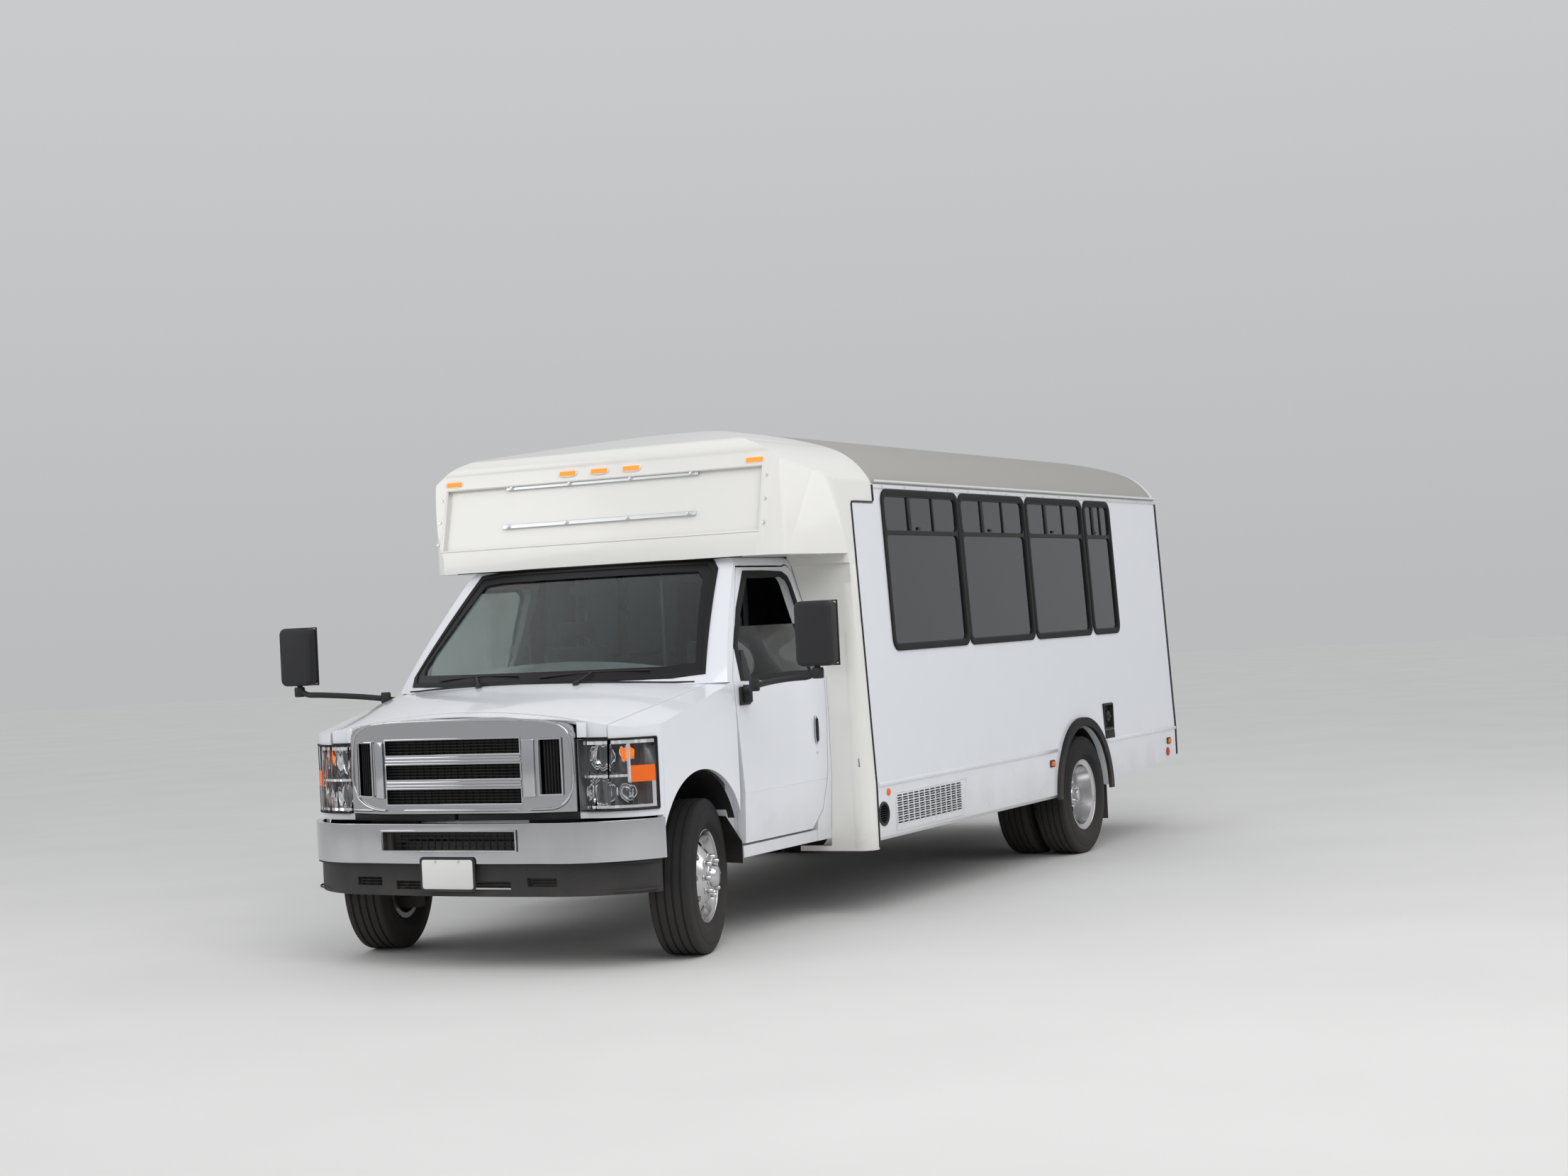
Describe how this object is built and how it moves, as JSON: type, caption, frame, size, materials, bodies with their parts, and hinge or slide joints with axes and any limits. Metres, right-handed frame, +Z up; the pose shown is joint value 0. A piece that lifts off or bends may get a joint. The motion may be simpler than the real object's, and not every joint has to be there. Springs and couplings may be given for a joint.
{
  "type": "minibus",
  "caption": "Small shuttle bus with a van cab, moulded cap, tall window body, twin rear wheels and working doors.",
  "frame": {"origin": "on the ground, under the middle of the vehicle's box", "axes": "+X forward, +Y to the vehicle's left, +Z up"},
  "size_m": [7.1598, 3.32, 2.65],
  "materials": {
    "white_paint": "gloss, with road dirt low down",
    "cap_gelcoat": "smooth moulded gelcoat",
    "roof_skin": "smooth, slightly dusty",
    "chassis_black": "satin, dusty",
    "cast_iron": "rough casting",
    "exhaust_steel": "dull and stained",
    "tyre": "matt rubber",
    "wheel_chrome": "bright",
    "bright_chrome": "bright",
    "black_plastic": "grained",
    "black_trim": "satin",
    "clear_lens": "clear",
    "amber_lens": "moulded lens",
    "aluminium": "satin",
    "tinted_glass": "dark tint",
    "black_rubber": "matt",
    "grey_floor": "ribbed sheet",
    "seat_cloth": "woven"
  },
  "bodies": {
    "root": {"body_floor": "grey_floor", "bumper_valance": "black_plastic", "cab_body": "white_paint", "cab_seats": "seat_cloth", "crossmembers": "chassis_black", "dashboard": "black_plastic", "driveline": "cast_iron", "engine_block": "cast_iron", "exhaust": "exhaust_steel", "frame_rails": "chassis_black", "front_axle": "cast_iron", "front_bumper": "bright_chrome", "front_cap": "cap_gelcoat", "front_fenders": "white_paint", "fuel_filler": "black_plastic", "fuel_tank": "chassis_black", "grille": "bright_chrome", "grille_mesh": "black_plastic", "headlamps": "clear_lens", "mud_flaps": "black_rubber", "passenger_seats": "seat_cloth", "radiator_support": "chassis_black", "rear_axle": "cast_iron", "rear_bumper": "chassis_black", "rear_wall": "white_paint", "roof": "roof_skin", "roof_lamps": "amber_lens", "side_and_tail_lamps": "amber_lens", "side_wall_left": "white_paint", "side_wall_right": "white_paint", "sign_rails": "aluminium", "steering_wheel": "black_plastic", "wheel_flares": "black_rubber", "window_frames": "black_trim", "window_glass": "tinted_glass", "windshield": "tinted_glass"},
    "front_wheel_left": {"front_tyre_left": "tyre", "front_rim_left": "wheel_chrome"},
    "front_wheel_right": {"front_tyre_right": "tyre", "front_rim_right": "wheel_chrome"},
    "rear_wheels_left": {"rear_tyres_left": "tyre", "rear_rims_left": "wheel_chrome"},
    "rear_wheels_right": {"rear_tyres_right": "tyre", "rear_rims_right": "wheel_chrome"},
    "knuckle_left": {"knuckle_left": "cast_iron"},
    "knuckle_right": {"knuckle_right": "cast_iron"},
    "driver_door": {"driver_door": "white_paint", "driver_door_glass": "tinted_glass", "mirror_left": "black_plastic"},
    "passenger_door": {"passenger_door": "white_paint", "passenger_door_glass": "tinted_glass", "mirror_right": "black_plastic"},
    "hood": {"hood": "white_paint"},
    "entry_door_front": {"entry_door_front": "black_trim", "entry_door_front_glass": "tinted_glass"},
    "entry_door_rear": {"entry_door_rear": "black_trim", "entry_door_rear_glass": "tinted_glass"},
    "rear_door": {"rear_door": "white_paint", "rear_door_glass": "tinted_glass"}
  },
  "joints": [
    {"name": "steer_left", "type": "hinge", "parent": "root", "child": "knuckle_left", "pos_m": [2.865, 0.8, 0.372], "axis": [0, 0, 1], "range_deg": [-51, 21]},
    {"name": "front_wheel_spin_left", "type": "hinge", "parent": "knuckle_left", "child": "front_wheel_left", "pos_m": [2.84404, 0.87824, 0.372], "axis": [-0.2588, 0.9659, 0], "continuous": true},
    {"name": "rear_wheels_spin_left", "type": "hinge", "parent": "root", "child": "rear_wheels_left", "pos_m": [-1.605, 1.112, 0.372], "axis": [0, 1, 0], "continuous": true},
    {"name": "steer_right", "type": "hinge", "parent": "root", "child": "knuckle_right", "pos_m": [2.865, -0.8, 0.372], "axis": [0, 0, 1], "range_deg": [-51, 21]},
    {"name": "front_wheel_spin_right", "type": "hinge", "parent": "knuckle_right", "child": "front_wheel_right", "pos_m": [2.88596, -0.87824, 0.372], "axis": [-0.2588, 0.9659, 0], "continuous": true},
    {"name": "rear_wheels_spin_right", "type": "hinge", "parent": "root", "child": "rear_wheels_right", "pos_m": [-1.605, -1.112, 0.372], "axis": [0, 1, 0], "continuous": true},
    {"name": "driver_door_hinge", "type": "hinge", "parent": "root", "child": "driver_door", "pos_m": [2.52, 1.011, 0.9], "axis": [0, 0, -1], "range_deg": [0, 65]},
    {"name": "passenger_door_hinge", "type": "hinge", "parent": "root", "child": "passenger_door", "pos_m": [2.52, -1.011, 0.9], "axis": [0, 0, 1], "range_deg": [0, 65]},
    {"name": "hood_hinge", "type": "hinge", "parent": "root", "child": "hood", "pos_m": [2.64, 0, 1.29], "axis": [0, -1, 0], "range_deg": [0, 50]},
    {"name": "entry_hinge_front", "type": "hinge", "parent": "root", "child": "entry_door_front", "pos_m": [1.356, -1.223, 0.686], "axis": [0, 0.0466, 0.9989], "range_deg": [0, 90]},
    {"name": "entry_hinge_rear", "type": "hinge", "parent": "root", "child": "entry_door_rear", "pos_m": [0.614, -1.223, 0.686], "axis": [0, -0.0466, -0.9989], "range_deg": [0, 90]},
    {"name": "rear_door_hinge", "type": "hinge", "parent": "root", "child": "rear_door", "pos_m": [-3.425, -0.43, 1.5], "axis": [0, 0, 1], "range_deg": [0, 110]}
  ],
  "couplings": [
    {"joint": "steer_right", "follows": "steer_left", "ratio": 1},
    {"joint": "entry_hinge_rear", "follows": "entry_hinge_front", "ratio": 1}
  ]
}
